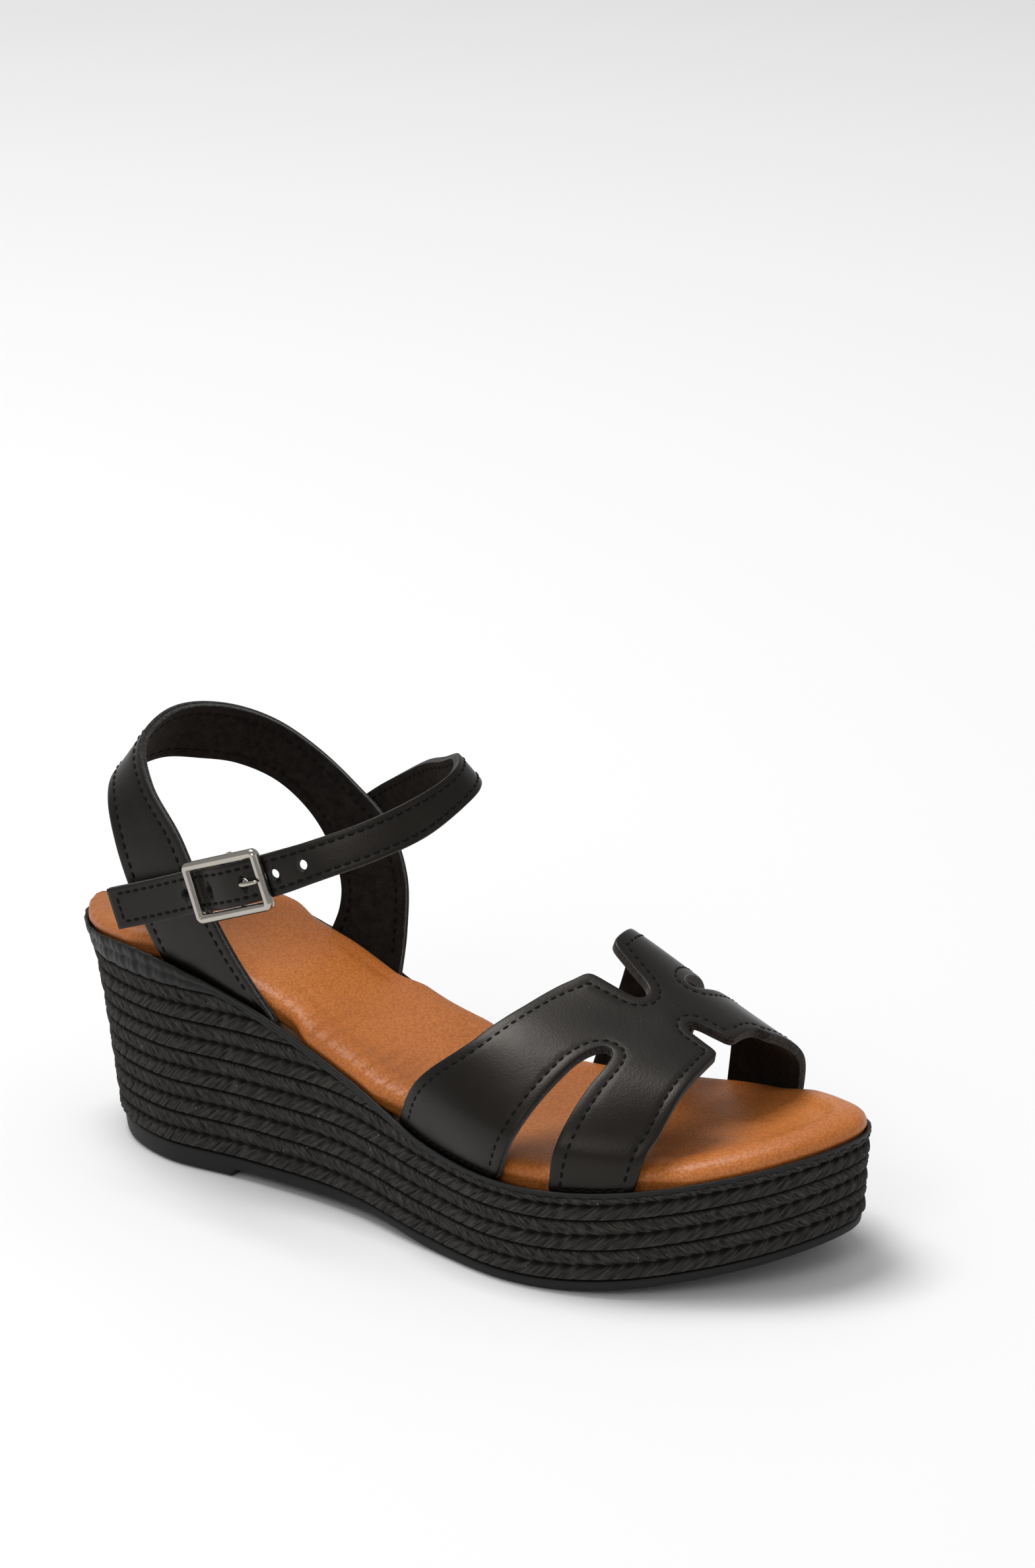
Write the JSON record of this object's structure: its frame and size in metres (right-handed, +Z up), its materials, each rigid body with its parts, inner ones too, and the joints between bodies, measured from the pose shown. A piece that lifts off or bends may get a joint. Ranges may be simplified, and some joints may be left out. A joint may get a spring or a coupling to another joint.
{
  "type": "wedge sandal",
  "caption": "Right-foot wedge sandal: rope-wound platform, padded leather footbed, cut-out vamp band, heel strap and buckled ankle strap",
  "frame": {"origin": "on the floor, under the middle of the bounding box", "axes": "+X from heel to toe, +Y to the inner (big-toe) side of a right foot, +Z up"},
  "size_m": [0.247, 0.0966, 0.1218],
  "materials": {
    "sole_rubber": "matt black rubber with a fine grain",
    "core": "pressed cork, hidden",
    "rope": "black twisted and plaited rope",
    "binding": "black bound edge",
    "board": "fibre board, hidden",
    "foam": "latex foam, hidden",
    "tan_leather": "soft grained tan leather",
    "black_leather": "smooth black leather with a soft sheen",
    "suede": "black suede flesh side",
    "nickel": "polished nickel plate"
  },
  "bodies": {
    "shoe": {"outsole": "sole_rubber", "wedge_core": "core", "rope_band_1": "rope", "rope_band_2": "rope", "rope_band_3": "rope", "rope_band_4": "rope", "rope_band_5": "rope", "rim_binding": "binding", "insole_board": "board", "footbed_foam": "foam", "footbed_cover": "tan_leather", "vamp_outer": "black_leather", "vamp_lining": "suede", "heel_strap_outer": "black_leather", "heel_strap_lining": "suede", "buckle_tab": "black_leather"},
    "buckle": {"buckle_frame": "nickel"},
    "prong": {"buckle_prong": "nickel"},
    "ankle_strap": {"ankle_strap_outer": "black_leather", "ankle_strap_lining": "suede"}
  },
  "joints": [
    {"name": "ankle_strap_open", "type": "hinge", "parent": "shoe", "child": "ankle_strap", "pos_m": [-0.0475, 0.03967, 0.088], "axis": [-0.37, 0, 0.929], "range_deg": [0, 75], "deforming": ["ankle_strap_outer", "ankle_strap_lining"]},
    {"name": "buckle_swing", "type": "hinge", "parent": "shoe", "child": "buckle", "pos_m": [-0.0478, -0.03013, 0.0884], "axis": [0.342, 0, -0.9397], "range_deg": [0, 15]},
    {"name": "prong_lift", "type": "hinge", "parent": "buckle", "child": "prong", "pos_m": [-0.0478, -0.03013, 0.0884], "axis": [0.342, 0, -0.9397], "range_deg": [0, 75]}
  ],
  "couplings": [
    {"joint": "buckle_swing", "follows": "ankle_strap_open", "ratio": 0.2},
    {"joint": "prong_lift", "follows": "ankle_strap_open", "ratio": 1}
  ]
}
